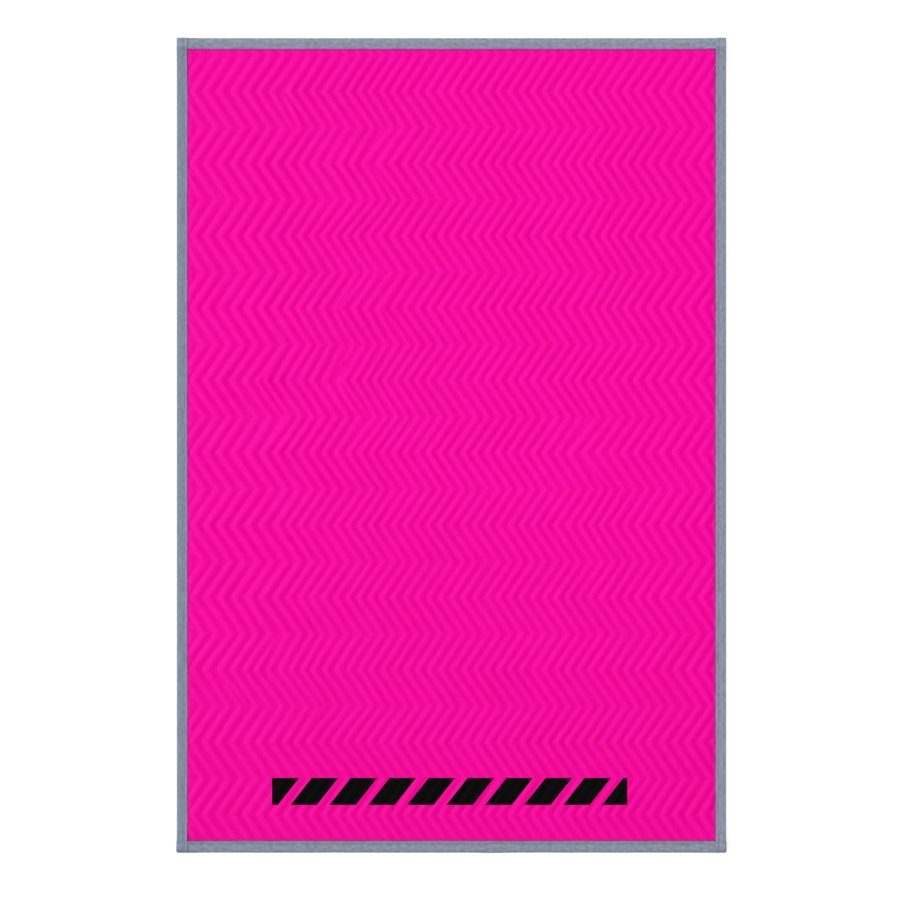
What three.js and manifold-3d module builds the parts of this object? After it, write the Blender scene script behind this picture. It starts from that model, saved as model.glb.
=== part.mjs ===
// A floor protection mat, lying flat: one quilted panel with a tape folded round each of its four edges.
// Millimetres, +Z up. The origin is on the floor under the middle of the mat, whose long side runs along Y.
import * as THREE from 'three';
import { mergeVertices } from 'three/addons/utils/BufferGeometryUtils.js';
import Module from 'manifold-3d';

const wasm = await Module();
wasm.setup();

// Driving dimensions
const matWidth = 600;
const matLength = 890;
const clearance = 0.3;
const tapeWall = 1.0;
const sideTapeWidth = 12.0;
const topTapeWidth = 12.3;
const bottomTapeWidth = 13.5;
const sideTapeProud = 0.45;
const pressedEdge = 1.2;
const ribTop = 4.2;
const grooveTop = 2.8;

// The zigzag of the quilting: a sharp turn to the left every period, and one to the right half-way between.
const zigzagPeriod = 79.0;
const zigzagSwing = 26.5;
const topLeftTurn = 386.8;
const leftTurnCount = 11;

// Ribs from left to right. The needles stand wider apart towards both sides of the mat.
const firstGroove = -316.9;
const ribGroups = [
  { ribs: 9, pitch: 14.75 },
  { ribs: 5, pitch: 13.55 },
  { ribs: 22, pitch: 12.57 },
  { ribs: 4, pitch: 13.1 },
  { ribs: 6, pitch: 14.2 },
];

// Places where the grooves stray sideways: where, how far, and how far that reaches across and along.
const strays = [
  { across: -105, y: 345, shift: -4.0, reachAcross: 34, reachAlong: 36 },
  { across: -94, y: 296, shift: 4.0, reachAcross: 26, reachAlong: 26 },
  { across: -108, y: 215, shift: -5.0, reachAcross: 44, reachAlong: 34 },
  { across: -92, y: 145, shift: 5.0, reachAcross: 30, reachAlong: 44 },
  { across: -152, y: 118, shift: -4.5, reachAcross: 28, reachAlong: 30 },
  { across: -96, y: 66, shift: 4.5, reachAcross: 34, reachAlong: 36 },
  { across: -214, y: 50, shift: -4.0, reachAcross: 20, reachAlong: 22 },
  { across: -186, y: 20, shift: 3.0, reachAcross: 40, reachAlong: 50 },
  { across: 142, y: 222, shift: 3.0, reachAcross: 26, reachAlong: 28 },
  { across: 146, y: 152, shift: 3.5, reachAcross: 26, reachAlong: 26 },
  { across: 124, y: 2, shift: 4.0, reachAcross: 22, reachAlong: 34 },
  { across: 158, y: 12, shift: -4.5, reachAcross: 30, reachAlong: 44 },
  { across: 148, y: -85, shift: 3.5, reachAcross: 26, reachAlong: 28 },
  { across: 262, y: 78, shift: -3.0, reachAcross: 50, reachAlong: 60 },
  { across: -194, y: -232, shift: 4.5, reachAcross: 34, reachAlong: 34 },
  { across: -140, y: -318, shift: -4.5, reachAcross: 60, reachAlong: 30 },
];

// Across one rib: where its points lie, and their share of its height, the groove first.
const ribPoints = [
  { along: 0, crest: 0 },
  { along: 0.18, crest: 0.72 },
  { along: 0.5, crest: 1 },
  { along: 0.82, crest: 0.72 },
];

// The ribs sink beside the tapes, where the seam pulls them down.
const edgeRibTop = 3.3;
const edgeSinkReach = 8;

// The quilted field that shows between the tapes
const fieldSide = matWidth / 2 - sideTapeWidth - clearance;
const fieldTop = matLength / 2 - topTapeWidth - clearance;
const fieldBottom = -matLength / 2 + bottomTapeWidth + clearance;

// A tape's section: two walls with room between them for the pressed edge of the panel.
const tapeRoom = pressedEdge + 2 * clearance;
const tapeHeight = tapeRoom + 2 * tapeWall;
const noseDepth = tapeHeight / 2;
const noseSteps = 6;
const hemRound = 0.25;

// At a corner the side tape goes round the end tape too, so what it holds is lifted by one wall.
const cornerLift = tapeWall + clearance;
const sideRampLength = 26;
const sideRampStart = fieldSide - sideRampLength;
const topRampStart = topLeftTurn;
const bottomRampStart = topLeftTurn - (leftTurnCount - 1) * zigzagPeriod;

// Share of a rise that starts at one place and is complete at another.
function ramp(value, start, end) {
  return THREE.MathUtils.clamp((value - start) / (end - start), 0, 1);
}

function nearSides(x) {
  return ramp(Math.abs(x), sideRampStart, fieldSide);
}

function nearEnds(y) {
  return y > 0 ? ramp(y, topRampStart, fieldTop) : ramp(y, bottomRampStart, fieldBottom);
}

function liftAt(x, y) {
  return cornerLift * nearSides(x) * nearEnds(y);
}

// How far right of its left turn a quilting line is at a given place along the mat.
function swingAt(y) {
  const turns = (topLeftTurn - y) / zigzagPeriod;
  const share = turns - Math.floor(turns);
  return zigzagSwing * (1 - Math.abs(2 * share - 1));
}

function strayAt(across, y) {
  let shift = 0;
  for (const stray of strays) {
    const a = (across - stray.across) / stray.reachAcross;
    const b = (y - stray.y) / stray.reachAlong;
    shift += stray.shift * Math.exp(-a * a - b * b);
  }
  return shift;
}

function sinkShare(x, y) {
  const inside = Math.min(fieldSide - Math.abs(x), fieldTop - y, y - fieldBottom);
  return ramp(inside, 0, edgeSinkReach);
}

// The points across the whole mat, from the first groove to the last.
function columnsAcross() {
  const columns = [];
  let groove = firstGroove;
  for (const group of ribGroups) {
    for (let rib = 0; rib < group.ribs; rib += 1) {
      for (const point of ribPoints) {
        columns.push({ across: groove + point.along * group.pitch, crest: point.crest });
      }
      groove += group.pitch;
    }
  }
  columns.push({ across: groove, crest: 0 });
  return columns;
}

// The rows of points along the mat: every turn of the zigzag, and both ends a little past the trim.
function rowsAlong() {
  const trim = 1;
  const rows = [fieldBottom - trim, fieldBottom + edgeSinkReach];
  for (let turn = 0; turn < 2 * leftTurnCount; turn += 1) {
    rows.push(bottomRampStart + turn * zigzagPeriod / 2);
  }
  rows.push(fieldTop + trim);
  return rows;
}

// A closed slab with its own columns and rows of points, each moved to where the given function puts it.
function slab(columns, rows, place) {
  const across = columns.length - 1;
  const along = rows.length - 1;
  const geometry = new THREE.BoxGeometry(across, along, 1, across, along, 1);
  const position = geometry.attributes.position;
  for (let i = 0; i < position.count; i += 1) {
    const column = columns[Math.round(position.getX(i) + across / 2)];
    const row = rows[Math.round(position.getY(i) + along / 2)];
    const point = place(column, row, position.getZ(i) > 0);
    position.setXYZ(i, point.x, point.y, point.z);
  }
  return geometry;
}

function quiltPoint(column, y) {
  const across = column.across + strayAt(column.across, y);
  return new THREE.Vector3(across + swingAt(y), y, 0);
}

// The ribs and grooves of the face, on a block that reaches below the floor until it is trimmed.
function quilting() {
  const below = -5;
  return slab(columnsAcross(), rowsAlong(), (column, y, isTop) => {
    const point = quiltPoint(column, y);
    const ribHeight = THREE.MathUtils.lerp(edgeRibTop, ribTop, sinkShare(point.x, y));
    const height = THREE.MathUtils.lerp(grooveTop, ribHeight, column.crest);
    point.z = isTop ? height + liftAt(point.x, y) : below;
    return point;
  });
}

// The panel's pressed edge, which runs under the tapes. Its rise is complete just outside the trimmed field.
function pressedSheet() {
  const reachX = matWidth / 2 - noseDepth;
  const reachY = matLength / 2 - noseDepth;
  const outside = clearance / 2;
  const middleOf = (a, b) => (a + b) / 2;
  const xHalf = [sideRampStart, middleOf(sideRampStart, fieldSide), fieldSide + outside, reachX];
  const columns = [...xHalf.map((x) => -x).reverse(), ...xHalf];
  const rows = [
    -reachY, fieldBottom - outside, middleOf(fieldBottom, bottomRampStart), bottomRampStart,
    topRampStart, middleOf(topRampStart, fieldTop), fieldTop + outside, reachY,
  ];
  return slab(columns, rows, (x, y, isTop) => {
    const height = tapeWall + clearance + (isTop ? pressedEdge : 0);
    return new THREE.Vector3(x, y, height + liftAt(x, y));
  });
}

function toSolid(geometry) {
  const mergeDistance = 1e-4;
  const bare = geometry.clone();
  bare.deleteAttribute('normal');
  bare.deleteAttribute('uv');
  const merged = mergeVertices(bare, mergeDistance);
  const mesh = new wasm.Mesh({
    numProp: 3,
    vertProperties: Float32Array.from(merged.attributes.position.array),
    triVerts: Uint32Array.from(merged.index.array),
  });
  return new wasm.Manifold(mesh);
}

function toGeometry(solid) {
  const mesh = solid.getMesh();
  const geometry = new THREE.BufferGeometry();
  geometry.setAttribute('position', new THREE.BufferAttribute(mesh.vertProperties, 3));
  geometry.setIndex(new THREE.BufferAttribute(mesh.triVerts, 1));
  geometry.computeVertexNormals();
  return geometry;
}

// The quilted cloth: face, wadding and back stitched into one, trimmed to the field, with its pressed edge.
function quiltedPanel() {
  const trimHeight = 20;
  const field = new THREE.BoxGeometry(2 * fieldSide, fieldTop - fieldBottom, trimHeight);
  field.translate(0, (fieldTop + fieldBottom) / 2, trimHeight / 2);
  return toGeometry(toSolid(quilting()).intersect(toSolid(field)).add(toSolid(pressedSheet())));
}

// A folded tape seen end on: inward from its nose along x, and upward along y.
function tapeSection(width) {
  const middle = tapeHeight / 2;
  const roomTop = tapeHeight - tapeWall;
  const section = new THREE.Shape();
  section.moveTo(width - hemRound, 0);
  section.lineTo(width, hemRound);
  section.lineTo(width, tapeWall - hemRound);
  section.lineTo(width - hemRound, tapeWall);
  section.lineTo(noseDepth, tapeWall);
  for (let i = 1; i < noseSteps; i += 1) {
    const angle = Math.PI * i / noseSteps;
    const inward = noseDepth - (noseDepth - tapeWall) * Math.sin(angle);
    section.lineTo(inward, middle - (middle - tapeWall) * Math.cos(angle));
  }
  section.lineTo(noseDepth, roomTop);
  section.lineTo(width - hemRound, roomTop);
  section.lineTo(width, roomTop + hemRound);
  section.lineTo(width, tapeHeight - hemRound);
  section.lineTo(width - hemRound, tapeHeight);
  section.lineTo(noseDepth, tapeHeight);
  for (let i = 1; i < noseSteps; i += 1) {
    const angle = Math.PI * i / noseSteps;
    section.lineTo(noseDepth - noseDepth * Math.sin(angle), middle + middle * Math.cos(angle));
  }
  section.lineTo(noseDepth, 0);
  section.closePath();
  return section;
}

// A tape drawn through its stations and then turned about the upright axis, so that its open side faces
// the mat. Drawn this way the left tape runs from the top of the mat down, and the right one from the bottom up.
function tapeAlong(width, stations, edgeDistance, turn) {
  const steps = stations.length - 1;
  const geometry = new THREE.ExtrudeGeometry(tapeSection(width), { depth: steps, steps, bevelEnabled: false });
  const position = geometry.attributes.position;
  for (let i = 0; i < position.count; i += 1) {
    position.setX(i, position.getX(i) - edgeDistance);
    position.setZ(i, stations[Math.round(position.getZ(i))]);
  }
  geometry.rotateY(turn);
  geometry.rotateX(Math.PI / 2);
  return geometry;
}

function moveHeights(geometry, newHeight) {
  const position = geometry.attributes.position;
  for (let i = 0; i < position.count; i += 1) {
    position.setZ(i, newHeight(position.getX(i), position.getY(i), position.getZ(i)));
  }
  return geometry;
}

// An end tape ends inside the side tapes, and climbs over their lower wall to get there.
function endTape(width, turn) {
  const reach = matWidth / 2 - noseDepth;
  const stations = [-reach, -fieldSide, -sideRampStart, sideRampStart, fieldSide, reach];
  const geometry = tapeAlong(width, stations, matLength / 2, turn);
  return moveHeights(geometry, (x, y, z) => z + liftAt(x, y));
}

// A side tape runs from end to end of the mat, and its upper wall climbs over the end tapes.
function sideTape(turn) {
  const reach = matLength / 2 + sideTapeProud;
  const alongMat = [-reach, fieldBottom, bottomRampStart, topRampStart, fieldTop, reach];
  const stations = turn === 0 ? alongMat.map((y) => -y).reverse() : alongMat;
  const geometry = tapeAlong(sideTapeWidth, stations, matWidth / 2, turn);
  return moveHeights(geometry, (x, y, z) => {
    const wallShare = ramp(z, tapeWall, tapeHeight - tapeWall);
    return z + 2 * cornerLift * nearEnds(y) * wallShare;
  });
}

function clothMesh(name, geometry, finish) {
  const mesh = new THREE.Mesh(geometry, new THREE.MeshStandardMaterial(finish));
  mesh.name = name;
  return mesh;
}

const quiltedCloth = { color: 0xf50d9d, roughness: 0.85, metalness: 0 };
const bindingTape = { color: 0x848c9d, roughness: 0.8, metalness: 0 };
const quarterTurn = Math.PI / 2;

const mat = new THREE.Group();
mat.add(clothMesh('quilted_panel', quiltedPanel(), quiltedCloth));
mat.add(clothMesh('binding_top', endTape(topTapeWidth, -quarterTurn), bindingTape));
mat.add(clothMesh('binding_bottom', endTape(bottomTapeWidth, quarterTurn), bindingTape));
mat.add(clothMesh('binding_left', sideTape(0), bindingTape));
mat.add(clothMesh('binding_right', sideTape(2 * quarterTurn), bindingTape));

export default mat;
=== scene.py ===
import math

import bmesh
import bpy
from mathutils import Matrix, Vector, noise


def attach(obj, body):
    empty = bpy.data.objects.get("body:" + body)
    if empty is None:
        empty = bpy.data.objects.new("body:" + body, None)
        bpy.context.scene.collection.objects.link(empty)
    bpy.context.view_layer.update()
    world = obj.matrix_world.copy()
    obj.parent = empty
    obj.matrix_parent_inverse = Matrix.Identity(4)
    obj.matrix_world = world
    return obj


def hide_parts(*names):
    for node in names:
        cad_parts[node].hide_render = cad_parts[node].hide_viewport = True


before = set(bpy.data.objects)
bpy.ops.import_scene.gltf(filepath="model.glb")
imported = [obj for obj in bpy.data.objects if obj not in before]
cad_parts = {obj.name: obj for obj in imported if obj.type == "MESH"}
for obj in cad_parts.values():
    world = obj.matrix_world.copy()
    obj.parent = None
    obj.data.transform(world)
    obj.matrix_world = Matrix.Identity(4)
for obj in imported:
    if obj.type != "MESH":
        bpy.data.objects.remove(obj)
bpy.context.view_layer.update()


# The quilted cloth is a bright pink face cloth and back cloth with wadding between them, sewn through in
# zigzag lines by a machine with many needles. It is cut to size, and its edge is pressed flat inside the
# tapes. Sizes are in millimetres, and each mesh is brought to metres once it is done.
field_side = 287.9
field_top = 432.8
field_bottom = -431.8
cut_side = 298.1
cut_end = 443.1
groove_height = 2.8
rib_rise = 1.65
pressed_top = 2.7
pressed_underside = 1.3
end_rib_share = 0.45
end_sink_reach = 7.0
side_rib_share = 0.85
side_sink_reach = 3.5
underside_groove = 0.9

# How far outside the edge of the tapes the press on each face begins and is complete.
face_press = (-0.5, 0.3)
underside_press = (-5.0, 0.4)

leg_length = 39.5
leg_swing = 26.5
top_left_turn = 386.8
bottom_left_turn = -403.2
side_ramp_start = 261.7
corner_rise = 1.3

first_groove = -332.3
rib_groups = [(10, 14.78), (5, 13.39), (4, 12.34), (8, 12.81), (10, 12.5), (4, 13.0), (7, 14.13)]
rib_points = [0, 0.07, 0.2, 0.35, 0.5, 0.65, 0.8, 0.93]

# Where grooves stray sideways: across and along the mat, how far, and how far that reaches each way. A stray
# has faded out at three times its reach. Besides these, every groove strays a little all along.
loose_stray = 0.9
reaches_to_fade = 3
strays = [
    (0, -45, -2.8, 150, 210),
    (-128, 290, 2.5, 34, 30),
    (-150, 338, -1.5, 60, 25),
    (-47, 310, 1.0, 25, 40),
    (-150, 170, -1.6, 50, 24),
    (-205, 405, 0.9, 45, 25),
    (-108, 215, -3.2, 40, 34),
    (-105, 118, -2.5, 30, 30),
    (-152, 118, -4.5, 28, 30),
    (-96, 66, 1.7, 34, 30),
    (-208, 10, 2.8, 22, 30),
    (-215, -60, 1.2, 50, 25),
    (142, 222, 3.0, 26, 28),
    (146, 152, 3.5, 26, 26),
    (148, -85, 2.0, 26, 28),
    (118, -26, -2.2, 36, 32),
    (175, -103, -1.0, 40, 22),
    (170, -165, -0.9, 70, 75),
    (262, 78, -3.0, 50, 60),
    (255, 195, 1.1, 40, 45),
    (255, -350, -1.8, 50, 60),
    (-150, -205, -2.2, 42, 40),
    (-225, -308, 1.3, 45, 30),
    (-130, -205, -1.5, 80, 45),
    (-110, -125, -1.2, 70, 40),
    (-90, -27, -1.0, 50, 22),
    (-110, 170, -1.0, 55, 20),
    (152, 88, 1.0, 25, 20),
    (-135, -318, -4.0, 50, 30),
]

# Where ribs run together or fork: across and along the mat at the upper and the lower end of such a stretch,
# and how many ribs it has more than the cloth round it.
forks = [
    (-98, 345, -90, 291, -1),
    (-120, 168, -124, 146, -1),
    (-76, 146, -130, 92, 1),
    (-186, 379, -200, 352, 1),
    (-209, 72, -209, 34, 1),
    (-122, 66, -116, 32, 1),
    (126, 32, 143, -36, -1),
    (-213, -216, -166, -286, 1),
    (-257, -267, -250, -281, 1),
]
fork_reach = 0.6


def rise(value, start, end):
    share = min(1.0, max(0.0, (value - start) / (end - start)))
    return share * share * (3 - 2 * share)


def near_end(y):
    return rise(y, top_left_turn, field_top) if y > 0 else rise(y, bottom_left_turn, field_bottom)


def lift_at(x, y):
    return corner_rise * rise(abs(x), side_ramp_start, field_side) * near_end(y)


def wander(x, y, reach, seed):
    return noise.noise(Vector((x / reach, y / reach, seed)))


def share_of_zigzag(y):
    return ((top_left_turn - y) / (2 * leg_length)) % 1.0


def swing_at(y):
    return leg_swing * (1 - abs(2 * share_of_zigzag(y) - 1))


# The wadding stands fullest where the ribs turn on the left and least where they turn on the right.
fullness_along = [
    (0, 1.15),
    (0.044, 1.03),
    (0.18, 1.0),
    (0.316, 0.98),
    (0.456, 0.95),
    (0.5, 0.4),
    (0.544, 1.02),
    (0.683, 0.91),
    (0.816, 0.98),
    (0.956, 1.14),
    (1, 1.15),
]


def fullness(y):
    share = share_of_zigzag(y)
    for (start, before), (end, after) in zip(fullness_along, fullness_along[1:]):
        if share <= end:
            return before + (after - before) * (share - start) / (end - start)
    return fullness_along[-1][1]


def stray_at(across, y):
    shift = loose_stray * wander(across, y, reach=55, seed=3.7)
    for stray_across, stray_y, most, reach_across, reach_along in strays:
        aside = (across - stray_across) / reach_across
        along = (y - stray_y) / reach_along
        if aside * aside + along * along < reaches_to_fade * reaches_to_fade:
            shift += most * math.exp(-aside * aside - along * along)
    return shift


# The count of ribs gained at a place, which changes by one on going once round either end of a fork.
def ribs_forked(across, y):
    gained = 0.0
    for upper_across, upper_y, lower_across, lower_y, more in forks:
        upper = ((upper_across - across) / fork_reach, upper_y - y)
        lower = ((lower_across - across) / fork_reach, lower_y - y)
        turned = upper[0] * lower[1] - upper[1] * lower[0]
        facing = upper[0] * lower[0] + upper[1] * lower[1]
        gained -= more * math.atan2(turned, facing) / (2 * math.pi)
    return gained


def groove_lines():
    lines = [first_groove]
    for ribs, pitch in rib_groups:
        for rib in range(ribs):
            lines.append(lines[-1] + pitch)
    return lines


def quilt_columns():
    lines = groove_lines()
    columns = []
    for rib in range(len(lines) - 1):
        for share in rib_points:
            columns.append((lines[rib] + share * (lines[rib + 1] - lines[rib]), rib + share))
    columns.append((lines[-1], len(lines) - 1))
    return columns


# The rows of points along the mat: close together beside the end tapes, and five to each leg of the zigzag.
under_bottom_tape = -437.0
under_top_tape = 438.0
steps_from_bottom_tape = (-0.3, 0.3, 0.9, 2.4, 4.5)
steps_from_top_tape = (6.1, 4.2, 2.4, 0.9, 0.3, -0.3)
steps_along_leg = (0, 3.5, 14.5, 25, 36)
legs_clear_of_tape = 6.5


def quilt_rows():
    rows = [-cut_end, under_bottom_tape] + [field_bottom + step for step in steps_from_bottom_tape]
    turn = bottom_left_turn - leg_length
    while turn < field_top:
        for along in steps_along_leg:
            if field_bottom + legs_clear_of_tape < turn + along < field_top - legs_clear_of_tape:
                rows.append(turn + along)
        turn += leg_length
    rows += [field_top - step for step in steps_from_top_tape] + [under_top_tape, cut_end]
    return rows


# A rib rises and falls evenly on the legs that lean to the left, and has sharper grooves on the others. The
# even wave goes on a little past each turn.
past_turn = 0.02
even_wave = 0.515
sharp_wave = 0.135
sharp_arch = 0.79


def crest_at(share, y):
    wave = 1 - math.cos(2 * math.pi * share)
    if (share_of_zigzag(y) + past_turn) % 1.0 < 0.5 + 2 * past_turn:
        return even_wave * wave
    return sharp_wave * wave + sharp_arch * abs(math.sin(math.pi * share))


# Where the ribs lie slack above both ends of the stripes: across and along the mat, how much flatter they
# are, and how far that reaches each way.
slack_places = [
    (-150, -292, 0.22, 36, 48),
    (250, -258, 0.15, 45, 20),
]


# The ribs stand a little fuller near the left side, down to the stripes, and flatter over the middle, most of
# all on its lower part. Each pair says where a change begins and is complete.
fuller_on_left = 0.19
fuller_x = -198
fuller_reach = 32
fuller_until = (-170, -260)
flatter_in_middle = 0.055
flatter_lower_down = 0.085
lower_down = (-40, -130)
middle_from_left = (-165, -125)
middle_to_right = (205, 250)


def fullness_across(x, y):
    fuller = fuller_on_left * math.exp(-(((x - fuller_x) / fuller_reach) ** 2))
    fuller *= 1 - rise(y, *fuller_until)
    in_middle = rise(x, *middle_from_left) * (1 - rise(x, *middle_to_right))
    flatter = flatter_in_middle + flatter_lower_down * rise(y, *lower_down)
    share = 1 + fuller - flatter * in_middle
    for slack_x, slack_y, most, reach_x, reach_y in slack_places:
        share -= most * math.exp(-(((x - slack_x) / reach_x) ** 2) - ((y - slack_y) / reach_y) ** 2)
    return share


def inside_field(x, y):
    return min(field_side - abs(x), field_top - y, y - field_bottom)


# The wadding is uneven in wide patches and in small lumps, and the cloth on it rises and falls a little.
wadding_patches = 0.45
wadding_lumps = 0.25
cloth_uneven = 0.45


def face_height(x, y, crest):
    inside = inside_field(x, y)
    uneven = 1 + wadding_patches * wander(x, y, reach=26, seed=8.1)
    uneven += wadding_lumps * wander(x, y, reach=11, seed=5.3)
    puff = fullness(y) * fullness_across(x, y) * uneven
    from_end = rise(min(field_top - y, y - field_bottom), 0, end_sink_reach)
    from_side = rise(field_side - abs(x), 0, side_sink_reach)
    share = end_rib_share + (1 - end_rib_share) * from_end
    share *= side_rib_share + (1 - side_rib_share) * from_side
    height = groove_height + cloth_uneven * wander(x, y, reach=20, seed=2.2) * share
    height += rib_rise * crest * share * puff
    pressed = rise(-inside, *face_press)
    return height + (pressed_top - height) * pressed + lift_at(x, y)


def underside_height(x, y, crest):
    inside = inside_field(x, y)
    height = underside_groove * max(0.0, 1 - crest)
    pressed = rise(-inside, *underside_press)
    return height + (pressed_underside - height) * pressed + lift_at(x, y)


# A grid of points is laid out in zigzags and cut to size at the sides. Then it gets its second face, and each
# face is set at its height. One map counts the ribs as they fork and the other without forks.
rib_uneven = 0.05
map_unit = 12.57


def quilted_sheet():
    columns = quilt_columns()
    rows = quilt_rows()
    sheet = bmesh.new()
    bmesh.ops.create_grid(sheet, x_segments=len(columns) - 1, y_segments=len(rows) - 1, size=1)
    ribs_map = sheet.loops.layers.uv.new("ribs")
    cloth_map = sheet.loops.layers.uv.new("cloth")
    places = {}
    for point in sheet.verts:
        across, ribs = columns[round((point.co.x + 1) / 2 * (len(columns) - 1))]
        y = rows[round((point.co.y + 1) / 2 * (len(rows) - 1))]
        forked = ribs + ribs_forked(across, y)
        share = forked % 1.0
        share += rib_uneven * math.sin(math.pi * share) * wander(across, y, reach=30, seed=6.6)
        point.co = (across + stray_at(across, y) + swing_at(y), y, crest_at(share, y))
        places[point.index] = (forked, ribs, y / map_unit)
    for face in sheet.faces:
        first = places[face.loops[0].vert.index][0]
        for loop in face.loops:
            forked, ribs, along = places[loop.vert.index]
            loop[ribs_map].uv = (forked + round(first - forked), along)
            loop[cloth_map].uv = (ribs, along)
    press_starts, press_ends = face_press
    cuts = ((cut_side, True), (field_side + press_ends, False), (field_side + press_starts, False))
    for side in (-1, 1):
        for distance, trims in cuts:
            bmesh.ops.bisect_plane(
                sheet,
                geom=sheet.verts[:] + sheet.edges[:] + sheet.faces[:],
                dist=0.0001,
                plane_co=(side * distance, 0, 0),
                plane_no=(side, 0, 0),
                clear_outer=trims,
            )
    face_points = sheet.verts[:]
    made = bmesh.ops.extrude_face_region(sheet, geom=sheet.faces[:], use_keep_orig=True)
    for point in made["geom"]:
        if isinstance(point, bmesh.types.BMVert):
            point.co.z = underside_height(point.co.x, point.co.y, point.co.z)
    for point in face_points:
        point.co.z = face_height(point.co.x, point.co.y, point.co.z)
    return sheet


def finished_piece(name, shape, material):
    bmesh.ops.recalc_face_normals(shape, faces=shape.faces[:])
    bmesh.ops.scale(shape, vec=(0.001, 0.001, 0.001), verts=shape.verts[:])
    for face in shape.faces:
        face.smooth = True
    mesh = bpy.data.meshes.new(name)
    shape.to_mesh(mesh)
    shape.free()
    piece = bpy.data.objects.new(name, mesh)
    bpy.context.scene.collection.objects.link(piece)
    piece.data.materials.append(material)
    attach(piece, "root")
    return piece


def sum_of(tree, operation, *values):
    node = tree.nodes.new("ShaderNodeMath")
    node.operation = operation
    for socket, value in zip(node.inputs, values):
        if isinstance(value, bpy.types.NodeSocket):
            tree.links.new(value, socket)
        else:
            socket.default_value = value
    return node.outputs[0]


def blotches(tree, place, scale, detail):
    node = tree.nodes.new("ShaderNodeTexNoise")
    node.inputs["Scale"].default_value = 1.0
    node.inputs["Detail"].default_value = detail
    stretch = tree.nodes.new("ShaderNodeMapping")
    stretch.inputs["Scale"].default_value = scale
    tree.links.new(place, stretch.inputs["Vector"])
    tree.links.new(stretch.outputs["Vector"], node.inputs["Vector"])
    spread = tree.nodes.new("ShaderNodeMapRange")
    spread.inputs["From Min"].default_value = 0.3
    spread.inputs["From Max"].default_value = 0.7
    tree.links.new(node.outputs["Fac"], spread.inputs["Value"])
    return spread.outputs["Result"]


def woven_threads(tree, across, along, pitch):
    warp = sum_of(tree, "SINE", sum_of(tree, "MULTIPLY", across, math.pi / pitch))
    weft = sum_of(tree, "SINE", sum_of(tree, "MULTIPLY", along, math.pi / pitch))
    return sum_of(tree, "ABSOLUTE", sum_of(tree, "MULTIPLY", warp, weft))


def raised(tree, height, distance, below=None):
    node = tree.nodes.new("ShaderNodeBump")
    node.inputs["Distance"].default_value = distance
    tree.links.new(height, node.inputs["Height"])
    if below:
        tree.links.new(below, node.inputs["Normal"])
    return node.outputs["Normal"]


def tinted(tree, share, plain, other):
    node = tree.nodes.new("ShaderNodeMix")
    node.data_type = "RGBA"
    tree.links.new(share, node.inputs["Factor"])
    for socket, value in ((node.inputs["A"], plain), (node.inputs["B"], other)):
        if isinstance(value, bpy.types.NodeSocket):
            tree.links.new(value, socket)
        else:
            socket.default_value = (*value, 1)
    return node.outputs["Result"]


def multiplied(tree, colour, other):
    node = tree.nodes.new("ShaderNodeMix")
    node.data_type = "RGBA"
    node.blend_type = "MULTIPLY"
    node.inputs["Factor"].default_value = 1.0
    tree.links.new(colour, node.inputs["A"])
    tree.links.new(other, node.inputs["B"])
    return node.outputs["Result"]


def ramp_between(tree, value, start, end):
    node = tree.nodes.new("ShaderNodeMapRange")
    node.inputs["From Min"].default_value = start
    node.inputs["From Max"].default_value = end
    tree.links.new(value, node.inputs["Value"])
    return node.outputs["Result"]


def scaled_place(tree, source, scale):
    node = tree.nodes.new("ShaderNodeVectorMath")
    node.operation = "SCALE"
    node.inputs["Scale"].default_value = scale
    tree.links.new(source, node.inputs[0])
    return node.outputs["Vector"]


def new_cloth(name, roughness, specular, sheen, sheen_tint):
    material = bpy.data.materials.new(name)
    material.use_nodes = True
    shader = material.node_tree.nodes["Principled BSDF"]
    shader.inputs["Roughness"].default_value = roughness
    shader.inputs["Specular IOR Level"].default_value = specular
    shader.inputs["Sheen Weight"].default_value = sheen
    shader.inputs["Sheen Roughness"].default_value = 0.5
    shader.inputs["Sheen Tint"].default_value = (*sheen_tint, 1)
    return material, material.node_tree, shader


# The warning stripes are printed over the ribs and their stitches in black ink, leaning to the right. They
# are counted from one whose left edge passes through stripe_x and stripe_y.
ink = (0.0006, 0.0014, 0.0009)
bar_left = -195.9
bar_right = 192.2
bar_bottom = -392.7
bar_top = -363.0
face_side_above = 1.6
stripe_x = -175.7
stripe_y = -392.2
stripe_lean = 0.79
stripe_width = 29.3
stripe_pitch = 42.55


def printed_bar(tree, parts):
    above_start = sum_of(tree, "SUBTRACT", parts["Y"], stripe_y)
    leaning = sum_of(tree, "MULTIPLY_ADD", above_start, -stripe_lean, -stripe_x)
    along_bar = sum_of(tree, "ADD", parts["X"], leaning)
    from_stripe = sum_of(tree, "FLOORED_MODULO", along_bar, stripe_pitch)
    inked = sum_of(tree, "LESS_THAN", from_stripe, stripe_width)
    for side, edge, test in (
        ("X", bar_left, "GREATER_THAN"),
        ("X", bar_right, "LESS_THAN"),
        ("Y", bar_bottom, "GREATER_THAN"),
        ("Y", bar_top, "LESS_THAN"),
        ("Z", face_side_above, "GREATER_THAN"),
    ):
        inked = sum_of(tree, "MULTIPLY", inked, sum_of(tree, test, parts[side], edge))
    return inked


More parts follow.
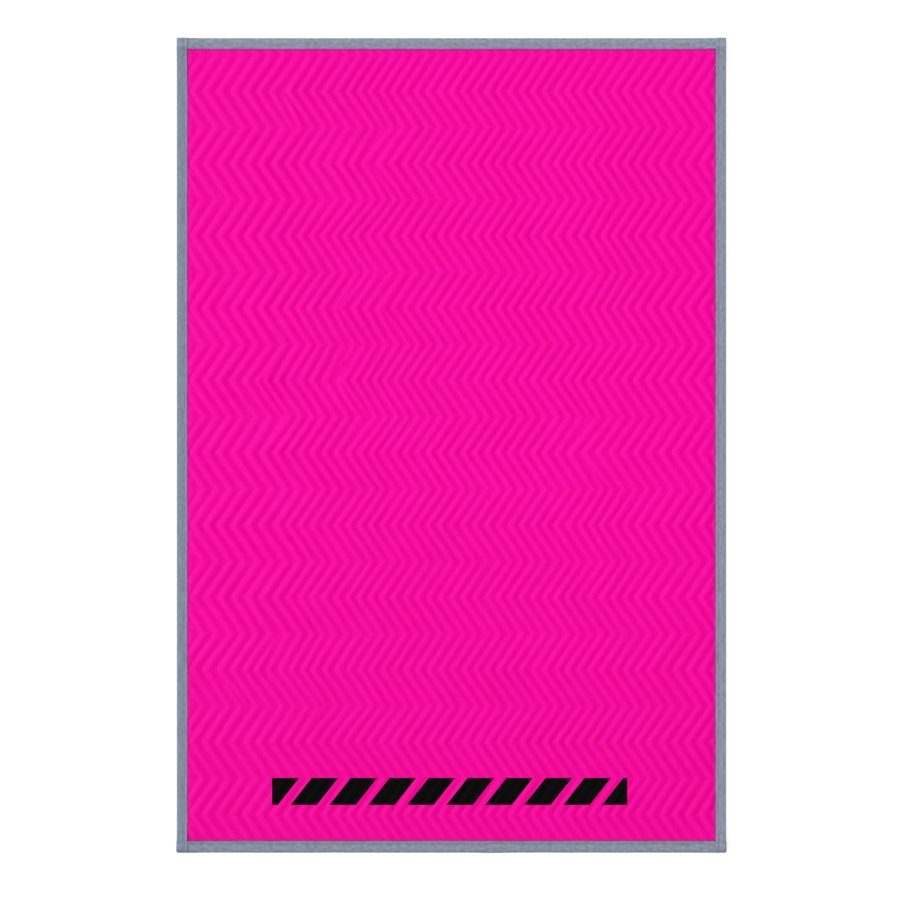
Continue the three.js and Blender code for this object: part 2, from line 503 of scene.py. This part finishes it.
# The pink varies with the yarns and from place to place, has painted shade in the grooves, and grows a little
# darker toward the stripes and toward the right side. The ink is duller than the cloth.
cloth_roughness = 0.32
ink_roughness = 0.72
deep_pink = (0.802, 0.0004, 0.277)
pale_pink = (0.832, 0.0008, 0.296)
yarn_pink = (0.767, 0.0003, 0.258)
yarn_share = 0.5
# Painted shade: the pink is darker in the grooves, where shade gathers.
groove_shade_pink = (0.712, 0.0003, 0.229)
groove_shade_share = 0.08
groove_sharpness = 3
darker_clouds = (0.955, 0.935, 0.92)
lighter_clouds = (1.045, 1.065, 1.08)
unchanged = (1, 1, 1)
darker_at_bottom = (0.942, 0.92, 0.905)
darker_on_right = (0.983, 0.98, 0.968)

# Painted shade: the cloth is darker and duller in the crease along the tapes, where they shade it. The right
# side, which faces the key light, is painted lighter.
left_crease_shade = (0.37, 0.009, 0.195)
right_crease_shade = (0.53, 0.024, 0.28)
end_crease_shade = (0.37, 0.006, 0.19)
side_crease_shade_width = 2.4
end_crease_shade_width = 2.3

# The cloth puckers finely all over, and the most beside the stitches.
puckers_on_crest = 0.4
more_in_groove = 0.6


def pink_cloth():
    material, tree, shader = new_cloth(
        "pink_cloth",
        roughness=cloth_roughness,
        specular=0.034,
        sheen=0.03,
        sheen_tint=(1.0, 0.12, 0.5),
    )
    place = tree.nodes.new("ShaderNodeTexCoord")
    ribs = tree.nodes.new("ShaderNodeUVMap")
    ribs.uv_map = "ribs"
    cloth = tree.nodes.new("ShaderNodeUVMap")
    cloth.uv_map = "cloth"
    in_mm = scaled_place(tree, place.outputs["Object"], 1000)
    parts = tree.nodes.new("ShaderNodeSeparateXYZ")
    tree.links.new(in_mm, parts.inputs["Vector"])
    rib_parts = tree.nodes.new("ShaderNodeSeparateXYZ")
    tree.links.new(ribs.outputs["UV"], rib_parts.inputs["Vector"])
    from_crest = sum_of(tree, "PINGPONG", sum_of(tree, "ADD", rib_parts.outputs["X"], 0.5), 0.5)
    near_groove = sum_of(tree, "POWER", sum_of(tree, "MULTIPLY", from_crest, 2), groove_sharpness)

    faded = blotches(tree, in_mm, scale=(0.012, 0.012, 0), detail=2)
    yarns = blotches(tree, in_mm, scale=(0.9, 0.12, 0), detail=2)
    pink = tinted(tree, faded, deep_pink, pale_pink)
    pink = tinted(tree, sum_of(tree, "MULTIPLY", yarns, yarn_share), pink, yarn_pink)
    # Painted shade in the grooves.
    pink = tinted(tree, sum_of(tree, "MULTIPLY", near_groove, groove_shade_share), pink, groove_shade_pink)
    clouds = blotches(tree, in_mm, scale=(0.03, 0.09, 5), detail=2)
    pink = multiplied(tree, pink, tinted(tree, clouds, darker_clouds, lighter_clouds))
    toward_bottom = ramp_between(tree, parts.outputs["Y"], start=-25, end=-400)
    pink = multiplied(tree, pink, tinted(tree, toward_bottom, unchanged, darker_at_bottom))
    toward_right = ramp_between(tree, parts.outputs["X"], start=120, end=285)
    pink = multiplied(tree, pink, tinted(tree, toward_right, unchanged, darker_on_right))

    from_side = sum_of(tree, "SUBTRACT", field_side, sum_of(tree, "ABSOLUTE", parts.outputs["X"]))
    from_top = sum_of(tree, "SUBTRACT", field_top, parts.outputs["Y"])
    from_bottom = sum_of(tree, "SUBTRACT", parts.outputs["Y"], field_bottom)
    from_end = sum_of(tree, "MINIMUM", from_top, from_bottom)
    on_left = sum_of(tree, "LESS_THAN", parts.outputs["X"], 0)
    # Painted shade in the crease along the tapes, lighter on the right side, which faces the key light.
    side_crease_shade = tinted(tree, on_left, right_crease_shade, left_crease_shade)
    pink = tinted(tree, ramp_between(tree, from_side, start=side_crease_shade_width, end=0), pink, side_crease_shade)
    pink = tinted(tree, ramp_between(tree, from_end, start=end_crease_shade_width, end=0), pink, end_crease_shade)

    printed = printed_bar(tree, parts.outputs)
    tree.links.new(tinted(tree, printed, pink, ink), shader.inputs["Base Color"])
    duller = ink_roughness - cloth_roughness
    roughness = sum_of(tree, "MULTIPLY_ADD", printed, duller, cloth_roughness)
    tree.links.new(roughness, shader.inputs["Roughness"])

    puckers = blotches(tree, cloth.outputs["UV"], scale=(0.8, 2.2, 0), detail=2)
    pucker_share = sum_of(tree, "MULTIPLY_ADD", near_groove, more_in_groove, puckers_on_crest)
    pucker_height = sum_of(tree, "MULTIPLY", puckers, pucker_share)
    soft = raised(tree, pucker_height, distance=0.0005)
    slubs = blotches(tree, in_mm, scale=(0.5, 0.5, 0), detail=3)
    soft = raised(tree, slubs, distance=0.00008, below=soft)
    weave = woven_threads(tree, parts.outputs["X"], parts.outputs["Y"], pitch=0.42)
    tree.links.new(raised(tree, weave, distance=0.00005, below=soft), shader.inputs["Normal"])
    return material


panel = finished_piece("quilted_cloth", quilted_sheet(), pink_cloth())
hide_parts("quilted_panel")


# The quilting thread is pink like the cloth. It lies in each groove as a row of short stitches, the needle
# thread on the face and the bobbin thread on the underside, ten to each leg of the zigzag.
stitch_step = 3.95
stitch_half_length = 1.65
quilting_thread = 0.3
stitch_sides = 4
stitch_straight_part = 1.3
stitch_slant = 1.2
stitch_flatness = 0.75
stitch_proud = 0.05
stitch_sunk = 0.12
stitch_clear_of_tape = 0.5
zigzags_of_stitches = 12


def one_stitch():
    shape = bmesh.new()
    bmesh.ops.create_cone(
        shape,
        cap_ends=True,
        cap_tris=True,
        segments=stitch_sides,
        radius1=1,
        radius2=1,
        depth=stitch_straight_part,
        matrix=Matrix.Rotation(math.pi / 2, 4, "X") @ Matrix.Rotation(math.pi / 4, 4, "Z"),
    )
    for point in shape.verts:
        if abs(point.co.x) + abs(point.co.z) < 0.01:
            point.co.y = math.copysign(1, point.co.y)
    mesh = bpy.data.meshes.new("one_stitch")
    shape.to_mesh(mesh)
    shape.free()
    return mesh


def row_of_stitches(places, lay):
    pattern = one_stitch()
    points_each = len(pattern.vertices)
    row = bmesh.new()
    for place in places:
        row.from_mesh(pattern)
    for number, point in enumerate(row.verts):
        point.co = lay(places[number // points_each], point.co)
    bpy.data.meshes.remove(pattern)
    return row


# A stitch lies wherever the count of ribs passes a whole number. Where the count jumps by one between two
# columns, inside a fork, there is no groove.
def quilting_places():
    places = []
    columns = quilt_columns()
    steps = round(2 * leg_length / stitch_step)
    for step in range(-steps, zigzags_of_stitches * steps):
        y = bottom_left_turn + (step + 0.5) * stitch_step
        counts = [ribs + ribs_forked(across, y) for across, ribs in columns]
        for (start, _), (end, _), before, after in zip(columns, columns[1:], counts, counts[1:]):
            if abs(after - before) < 0.5 and math.floor(after) != math.floor(before):
                groove = max(math.floor(after), math.floor(before))
                across = start + (end - start) * (groove - before) / (after - before)
                x = across + stray_at(across, y) + swing_at(y)
                if inside_field(x, y) > stitch_clear_of_tape:
                    places.append((across, x, y))
    return places


def quilting_stitches(places, on_face):
    def lay(place, corner):
        across, x, y = place
        y_here = y + corner.y * stitch_half_length
        x_here = across + stray_at(across, y) + swing_at(y_here)
        sunk = stitch_sunk * (1 - abs(corner.y))
        if on_face:
            z = face_height(x, y, 0) + stitch_proud + sunk
        else:
            z = underside_height(x, y, 0) - stitch_proud - sunk
        x_here += corner.x * stitch_slant * quilting_thread
        return (x_here, y_here, z + corner.z * stitch_flatness * quilting_thread)

    return row_of_stitches(places, lay)


# A thread has a fine twist and is a little darker here and there. The stripes are printed on the pink one.
thread_shade = 0.85


def thread(name, colour, printed):
    material, tree, shader = new_cloth(name, roughness=0.8, specular=0.03, sheen=0.05, sheen_tint=colour)
    place = tree.nodes.new("ShaderNodeTexCoord")
    in_mm = scaled_place(tree, place.outputs["Object"], 1000)
    shade = blotches(tree, in_mm, scale=(0.8, 0.8, 0.8), detail=2)
    darker = [thread_shade * part for part in colour]
    colour = tinted(tree, shade, colour, darker)
    if printed:
        parts = tree.nodes.new("ShaderNodeSeparateXYZ")
        tree.links.new(in_mm, parts.inputs["Vector"])
        colour = tinted(tree, printed_bar(tree, parts.outputs), colour, ink)
    tree.links.new(colour, shader.inputs["Base Color"])
    twist = tree.nodes.new("ShaderNodeTexWave")
    twist.bands_direction = "DIAGONAL"
    twist.inputs["Scale"].default_value = 1.4
    tree.links.new(in_mm, twist.inputs["Vector"])
    tree.links.new(raised(tree, twist.outputs["Fac"], distance=0.00006), shader.inputs["Normal"])
    return material


pink_thread = thread("pink_thread", (0.79, 0.002, 0.265), printed=True)
needle_places = quilting_places()
face_row = quilting_stitches(needle_places, on_face=True)
back_row = quilting_stitches(needle_places, on_face=False)
face_stitches = finished_piece("quilting_face", face_row, pink_thread)
back_stitches = finished_piece("quilting_underside", back_row, pink_thread)


# The binding is a blue-grey woven tape with its edges turned under, folded round each edge of the mat and
# sewn down. The top and bottom tapes go on first, and the side tapes lap over their ends.
mat_half_width = 300.0
mat_half_length = 445.0
tape_top = 3.8
wall = 1.0
left_tape_width = 11.65
right_tape_width = 11.35
top_tape_width = 12.15
bottom_tape_width = 13.1
side_tape_proud = -0.1
tape_step = 1.5
tape_end_steps = (0, 0.4, 1.0, 1.8)
nose_radius = tape_top / 2
inner_nose_radius = 0.9
nose_steps = 8
inner_nose_steps = 4


# Once round the folded tape, as pairs of the distance in from the edge of the mat and the height. It starts
# at the hem on top and goes round the nose to the hem below, then back along the inside.
def tape_section(width, seam):
    upper = [
        (width, tape_top - 0.5),
        (width - 0.06, tape_top - 0.3),
        (width - 0.2, tape_top - 0.14),
        (width - 0.5, tape_top - 0.03),
        (width - seam + 0.9, tape_top + 0.02),
        (width - seam + 0.4, tape_top - 0.06),
        (width - seam, tape_top - 0.24),
        (width - seam - 0.4, tape_top - 0.06),
        (width - seam - 1.2, tape_top + 0.05),
        (width / 2, tape_top + 0.08),
        (3.4, tape_top + 0.05),
    ]
    nose = []
    for step in range(nose_steps + 1):
        turn = math.pi * step / nose_steps
        inward = nose_radius - nose_radius * math.sin(turn)
        nose.append((inward, nose_radius + nose_radius * math.cos(turn)))
    lower = [(inward, tape_top - height) for inward, height in reversed(upper)]
    lower = [(inward, max(0.0, height)) for inward, height in lower]
    inner_lower = [(width - 0.06, 0.7), (width - 0.4, 0.82), (width - 1.5, wall), (width / 2, wall)]
    inner_nose = []
    for step in range(inner_nose_steps + 1):
        turn = math.pi * step / inner_nose_steps
        inward = nose_radius - inner_nose_radius * math.sin(turn)
        inner_nose.append((inward, nose_radius - inner_nose_radius * math.cos(turn)))
    inner_upper = [(inward, tape_top - height) for inward, height in reversed(inner_lower)]
    return upper + nose + lower + inner_lower + inner_nose + inner_upper + upper[:1]


# A side tape climbs over the end tape at each corner, mostly before it and a little more on it. The bottom
# tape's bulk pushes it out there and draws its end back a little, and its own corners are rounded off. The
# climb and the push begin and end so far from the end tape's inner edge.
upper_corner = 0.9
lower_corner = 2.0
climb_before_lap = 0.78
climb_on_lap = 0.13
before_lap = -2
onto_lap = 1.5
push_begins = -1
push_complete = 3
push_reach = 9
drawn_back = 0.55


def side_place(side, pushed_out):
    reach = mat_half_length + side_tape_proud

    def place(along, inward, height):
        edge, ramp_start = (field_top, top_left_turn) if along > 0 else (-field_bottom, -bottom_left_turn)
        side_tape_corner = upper_corner if along > 0 else lower_corner
        climb = climb_before_lap * rise(abs(along), ramp_start, edge + before_lap)
        climb += climb_on_lap * rise(abs(along), edge + before_lap, edge + onto_lap)
        share = min(1.0, max(0.0, (height - wall) / (tape_top - 2 * wall)))
        height += 2 * corner_rise * climb * share
        out = max(0.0, 1 - inward / side_tape_corner)
        on = max(0.0, 1 - (reach - abs(along)) / side_tape_corner)
        inward += side_tape_corner * out * (1 - math.sqrt(1 - on * on / 2))
        if along < 0:
            push = pushed_out * rise(-along, -field_bottom + push_begins, -field_bottom + push_complete)
            inward -= push * max(0.0, 1 - inward / push_reach)
        along -= math.copysign(side_tape_corner * on * (1 - math.sqrt(1 - out * out / 2)), along)
        if along < 0:
            along += drawn_back * rise(-along, -field_bottom, reach - 1)
        return (side * (mat_half_width - inward), along, height)

    return place


def end_place(side):
    def place(along, inward, height):
        y = side * (mat_half_length - inward)
        return (along, y, height + lift_at(along, y))

    return place


# The hem of a tape wanders a little along its length, its nose is moved out by dip, and the wall on top is
# softly uneven.
hem_wander = 0.22
top_wall_uneven = 0.07
top_wall_depth = 0.4
past_nose = 2


def folded_tape(width, seam, reach, place, seed, dip):
    section = tape_section(width, seam)
    run = [0.0]
    for before, after in zip(section, section[1:]):
        run.append(run[-1] + math.dist(before, after))
    inner_reach = reach - tape_end_steps[-1] - tape_step
    steps = round(2 * inner_reach / tape_step)
    stations = [-reach + step for step in tape_end_steps]
    stations += [-inner_reach + 2 * inner_reach * step / steps for step in range(steps + 1)]
    stations += [reach - step for step in reversed(tape_end_steps)]
    tape = bmesh.new()
    bmesh.ops.create_grid(tape, x_segments=len(section) - 1, y_segments=len(stations) - 1, size=1)
    tape_map = tape.loops.layers.uv.new("tape")
    places = {}
    for point in tape.verts:
        number = round((point.co.x + 1) / 2 * (len(section) - 1))
        along = stations[round((point.co.y + 1) / 2 * (len(stations) - 1))]
        inward, height = section[number]
        places[point.index] = (along, run[number])
        hem = inward / width
        inward += hem_wander * hem * wander(along, 0, reach=30, seed=seed) - (1 - hem) * dip(along)
        pillow = wander(along, 6 * inward, reach=14, seed=seed + 2.5)
        if height > tape_top - top_wall_depth and inward > past_nose:
            height += top_wall_uneven * pillow
        point.co = place(along, inward, height)
    for face in tape.faces:
        for loop in face.loops:
            loop[tape_map].uv = places[loop.vert.index]
    bmesh.ops.remove_doubles(tape, verts=tape.verts[:], dist=0.0001)
    ends = [edge for edge in tape.edges if edge.is_boundary]
    bmesh.ops.holes_fill(tape, edges=ends)
    return tape


def scaled(colour, *shares):
    return [part * share for part, share in zip(colour, shares)]


def greys(stops):
    return [(distance, (shade, shade, shade)) for distance, shade in stops]


def colours_along(tree, value, stops, reach):
    node = tree.nodes.new("ShaderNodeValToRGB")
    tree.links.new(sum_of(tree, "DIVIDE", value, reach), node.inputs["Fac"])
    ramp = node.color_ramp.elements
    while len(ramp) < len(stops):
        ramp.new(0.5)
    for stop, (place, colour) in zip(ramp, stops):
        stop.position = place / reach
        stop.color = (*colour, 1)
    return node.outputs["Color"]


# Over the end tapes the side tapes lie in small folds. Painted light and shade of the folds, and of the step
# over the end tape's edge, makes them lighter and darker at so many millimetres from the end.
lap_shading_reach = 20
upper_lap_shading = [
    (0, 1.15),
    (6, 1.12),
    (7.2, 1.24),
    (8.3, 1.24),
    (9.4, 1.0),
    (10.5, 0.9),
    (11.6, 0.94),
    (12.7, 0.82),
    (13.8, 0.9),
    (15.2, 1),
]
lower_lap_shading = [
    (0, 0.62),
    (1.6, 0.68),
    (2.5, 0.78),
    (3.6, 0.87),
    (5.6, 0.98),
    (7.8, 1.05),
    (8.9, 1.18),
    (10, 1.05),
    (11.2, 0.93),
    (14.3, 0.93),
    (16, 1),
]


# Near the inner edge the tape is a single layer beside the pink cloth, with a faint painted blush of pink
# light bounced from it, out to a set distance from the middle. At the corners beyond that, it has a painted
# hem highlight.
across_reach = 14
plain_hem = [(0, 1), (across_reach, 1)]
side_bounced_pink_blush_end = 432
end_bounced_pink_blush_end = 288
cooler = (0.94, 1.02, 0.98)
warmer = (1.08, 0.98, 1.03)


def grey_tape(name, grey, bounced_pink_blushes, bounced_pink_blush_end, patch, streak, hem_highlight, shades):
    material, tree, shader = new_cloth(
        name,
        roughness=0.85,
        specular=0.1,
        sheen=0.05,
        sheen_tint=(0.8, 0.85, 1.0),
    )
    follow = tree.nodes.new("ShaderNodeUVMap")
    follow.uv_map = "tape"
    parts = tree.nodes.new("ShaderNodeSeparateXYZ")
    tree.links.new(follow.outputs["UV"], parts.inputs["Vector"])
    bands = colours_along(tree, parts.outputs["Y"], greys(shades), across_reach)
    # Painted light: a pink blush of light bounced from the cloth near the inner edge, and a painted hem
    # highlight at the corners.
    bounced_pink_blush = colours_along(tree, parts.outputs["Y"], bounced_pink_blushes, across_reach)
    corner_hem_highlight = colours_along(tree, parts.outputs["Y"], greys(hem_highlight), across_reach)
    beside_pink = sum_of(tree, "LESS_THAN", sum_of(tree, "ABSOLUTE", parts.outputs["X"]), bounced_pink_blush_end)
    warm = blotches(tree, follow.outputs["UV"], scale=(0.11, 0.3, 0), detail=2)
    patches = blotches(tree, follow.outputs["UV"], scale=(0.2, 0.3, 7), detail=3)
    streaks = blotches(tree, follow.outputs["UV"], scale=(0.05, 1.1, 0), detail=3)
    colour = tinted(tree, warm, scaled(grey, *cooler), scaled(grey, *warmer))
    colour = multiplied(tree, colour, tinted(tree, patches, [1 - patch] * 3, [1 + patch] * 3))
    colour = multiplied(tree, colour, tinted(tree, streaks, [1 - streak] * 3, [1 + streak] * 3))
    colour = multiplied(tree, colour, tinted(tree, beside_pink, corner_hem_highlight, bounced_pink_blush))
    # Painted light and shade of the folds where the side tapes lap over the end tapes.
    for end, fold_shading in ((1, upper_lap_shading), (-1, lower_lap_shading)):
        from_end = sum_of(tree, "MULTIPLY_ADD", parts.outputs["X"], -end, mat_half_length)
        colour = multiplied(tree, colour, colours_along(tree, from_end, greys(fold_shading), lap_shading_reach))
    tree.links.new(multiplied(tree, colour, bands), shader.inputs["Base Color"])
    uneven = blotches(tree, follow.outputs["UV"], scale=(0.16, 0.5, 0), detail=3)
    soft = raised(tree, uneven, distance=0.00015)
    soft = raised(tree, streaks, distance=0.00006, below=soft)
    weave = woven_threads(tree, parts.outputs["X"], parts.outputs["Y"], pitch=0.5)
    tree.links.new(raised(tree, weave, distance=0.00006, below=soft), shader.inputs["Normal"])
    return material


# How far out the nose of a tape stands, the same all along it. The bottom tape has its own way, after this.
def steady_dip(out):
    def dip(along):
        return out

    return dip


# The bottom tape bulges a little to the right of its middle, and its nose wanders.
bulge = 0.35
bulge_x = 47
bulge_reach = 16
nose_wander = 0.12


def bottom_dip(along):
    bulging = bulge * math.exp(-(((along - bulge_x) / bulge_reach) ** 2))
    return bulging + nose_wander * wander(along, 0, reach=24, seed=9.4)


# Each tape's grey, its painted blush of pink light, its painted hem highlight, and how much lighter or darker
# it is at so many millimetres from its inner edge.
left_grey = grey_tape(
    "left_grey",
    grey=(0.175, 0.21, 0.267),
    bounced_pink_blushes=[
        (0, (2.4, 1.45, 2.7)),
        (0.65, (2.15, 1.1, 2.0)),
        (0.9, (1.18, 0.64, 0.92)),
        (1.7, (1.38, 0.98, 1.12)),
        (3.0, (1, 1, 1)),
    ],
    bounced_pink_blush_end=side_bounced_pink_blush_end,
    patch=0.12,
    streak=0.17,
    hem_highlight=[(0, 1.2), (0.3, 1.28), (1.1, 1.28), (1.8, 1.0)],
    shades=[
        (0, 1.06),
        (2, 1.05),
        (3.9, 0.99),
        (5, 0.96),
        (6.1, 0.91),
        (7.2, 1.0),
        (8.3, 0.97),
        (9.4, 1.01),
        (11.5, 0.95),
    ],
)
right_grey = grey_tape(
    "right_grey",
    grey=(0.189, 0.218, 0.277),
    bounced_pink_blushes=[
        (0, (1.65, 0.76, 1.35)),
        (1.2, (1.28, 0.74, 1.0)),
        (1.9, (1.1, 1.0, 1.05)),
        (3.0, (1, 1, 1)),
    ],
    bounced_pink_blush_end=side_bounced_pink_blush_end,
    patch=0.12,
    streak=0.17,
    hem_highlight=plain_hem,
    shades=[
        (0, 1.05),
        (2.2, 1.05),
        (3.3, 0.86),
        (4.4, 0.98),
        (5.5, 1.07),
        (6.6, 1.0),
        (7.6, 1.09),
        (8.7, 1.02),
        (9.8, 1.12),
        (11.5, 1.1),
    ],
)
top_grey = grey_tape(
    "top_grey",
    grey=(0.199, 0.234, 0.292),
    bounced_pink_blushes=[
        (0, (1.12, 0.93, 1.05)),
        (1.0, (1.1, 0.95, 1.05)),
        (1.8, (1, 1, 1)),
    ],
    bounced_pink_blush_end=end_bounced_pink_blush_end,
    patch=0.2,
    streak=0.1,
    hem_highlight=plain_hem,
    shades=[
        (0, 0.88),
        (1, 0.9),
        (1.9, 1.05),
        (3, 1.05),
        (4.1, 0.99),
        (6.2, 0.91),
        (7.4, 1.0),
        (8.5, 1.09),
        (12, 0.95),
    ],
)
bottom_grey = grey_tape(
    "bottom_grey",
    grey=(0.181, 0.213, 0.267),
    bounced_pink_blushes=[
        (0, (1.12, 0.93, 1.05)),
        (0.9, (1.1, 0.95, 1.03)),
        (1.6, (0.96, 1.02, 0.97)),
        (2.6, (1, 1, 1)),
    ],
    bounced_pink_blush_end=end_bounced_pink_blush_end,
    patch=0.2,
    streak=0.1,
    hem_highlight=plain_hem,
    shades=[
        (0, 0.86),
        (0.6, 0.86),
        (1.7, 0.99),
        (2.8, 0.87),
        (3.9, 0.93),
        (5, 1.0),
        (8.2, 1.06),
        (10.4, 0.98),
        (12.6, 0.84),
    ],
)


def fitted_tape(name, node, width, seam, reach, place, material, seed, dip):
    tape = finished_piece(name, folded_tape(width, seam, reach, place, seed, dip), material)
    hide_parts(node)
    return tape, width, seam, reach, place


end_reach = cut_side
side_reach = mat_half_length + side_tape_proud
seam_from_hem = 2.4
bottom_seam_from_hem = 3.3
tapes = [
    fitted_tape(
        "tape_top",
        "binding_top",
        width=top_tape_width,
        seam=seam_from_hem,
        reach=end_reach,
        place=end_place(1),
        material=top_grey,
        seed=1.3,
        dip=steady_dip(0.0),
    ),
    fitted_tape(
        "tape_bottom",
        "binding_bottom",
        width=bottom_tape_width,
        seam=bottom_seam_from_hem,
        reach=end_reach,
        place=end_place(-1),
        material=bottom_grey,
        seed=4.9,
        dip=bottom_dip,
    ),
    fitted_tape(
        "tape_left",
        "binding_left",
        width=left_tape_width,
        seam=seam_from_hem,
        reach=side_reach,
        place=side_place(-1, pushed_out=0.45),
        material=left_grey,
        seed=7.7,
        dip=steady_dip(0.16),
    ),
    fitted_tape(
        "tape_right",
        "binding_right",
        width=right_tape_width,
        seam=seam_from_hem,
        reach=side_reach,
        place=side_place(1, pushed_out=0.5),
        material=right_grey,
        seed=12.1,
        dip=steady_dip(0.08),
    ),
]


# The seam thread matches the tape. One row of short stitches goes through both walls of each tape, near its
# inner edge, and holds it to the quilted cloth.
seam_step = 3.0
seam_half_length = 1.3
seam_thread = 0.26
seam_flatness = 0.6
seam_depth = 0.2
seam_sunk = 0.1
seam_clear_of_ends = 3


def seam_stitches(width, seam, reach, place):
    count = int(2 * (reach - seam_clear_of_ends) / seam_step)
    places = []
    for number in range(count):
        along = -seam_step * (count - 1) / 2 + number * seam_step
        places += [(along, True), (along, False)]

    def lay(where, corner):
        along, above = where
        sunk = seam_sunk * (1 - abs(corner.y))
        height = tape_top - seam_depth + sunk if above else seam_depth - sunk
        height += corner.z * seam_flatness * seam_thread
        inward = width - seam + corner.x * seam_thread
        return place(along + corner.y * seam_half_length, inward, height)

    return row_of_stitches(places, lay)


grey_thread = thread("grey_thread", (0.18, 0.205, 0.26), printed=False)
for tape, width, seam, reach, place in tapes:
    row = seam_stitches(width, seam, reach, place)
    stitches = finished_piece(tape.name + "_seam", row, grey_thread)


# The studio: a plain white floor lit faintly from below as a light table is, a soft key light from the left
# and an even pale surround.
just_below = Matrix.Translation((0, 0, -0.0001))
floor_shape = bmesh.new()
bmesh.ops.create_grid(floor_shape, x_segments=1, y_segments=1, size=40, matrix=just_below)
floor_mesh = bpy.data.meshes.new("floor")
floor_shape.to_mesh(floor_mesh)
floor_shape.free()
floor = bpy.data.objects.new("floor", floor_mesh)
bpy.context.scene.collection.objects.link(floor)
floor_paint = bpy.data.materials.new("floor_paint")
floor_paint.use_nodes = True
paint = floor_paint.node_tree.nodes["Principled BSDF"].inputs
paint["Base Color"].default_value = (0.35, 0.35, 0.35, 1)
paint["Roughness"].default_value = 0.9
paint["Specular IOR Level"].default_value = 0.1
paint["Emission Color"].default_value = (1, 1, 1, 1)
paint["Emission Strength"].default_value = 0.8
floor_mesh.materials.append(floor_paint)

toward_key = Vector((-0.97, 0.195, 0.9))
key = bpy.data.lights.new("key_light", "SUN")
key.energy = 2.82
key.angle = math.radians(75)
key_light = bpy.data.objects.new("key_light", key)
key_light.rotation_euler = toward_key.to_track_quat("Z", "Y").to_euler()
bpy.context.scene.collection.objects.link(key_light)

surround = bpy.data.worlds.new("surround")
surround.use_nodes = True
backdrop = surround.node_tree.nodes["Background"].inputs
backdrop["Color"].default_value = (1, 1, 1, 1)
backdrop["Strength"].default_value = 0.7
bpy.context.scene.world = surround

# The brightest tones are eased off, as a camera does, so the pink keeps its depth on the lit side of a rib.
view = bpy.context.scene.view_settings
view.view_transform = "Standard"
view.use_curve_mapping = True
view.curve_mapping.clip_max_x = 2
all_channels = 3
tones = view.curve_mapping.curves[all_channels].points
tones[1].location = (1.2, 1.0)
for bright, shown in ((0.6, 0.6), (0.76, 0.755), (0.85, 0.817), (1.0, 0.916), (1.13, 0.983)):
    tones.new(bright, shown)
view.curve_mapping.update()


# The camera looks straight down on the mat through a long lens.
lens = bpy.data.cameras.new("camera")
lens.lens = 100
camera = bpy.data.objects.new("camera", lens)
camera.location = (-0.00153, -0.005, 2.7335)
bpy.context.scene.collection.objects.link(camera)
bpy.context.scene.camera = camera
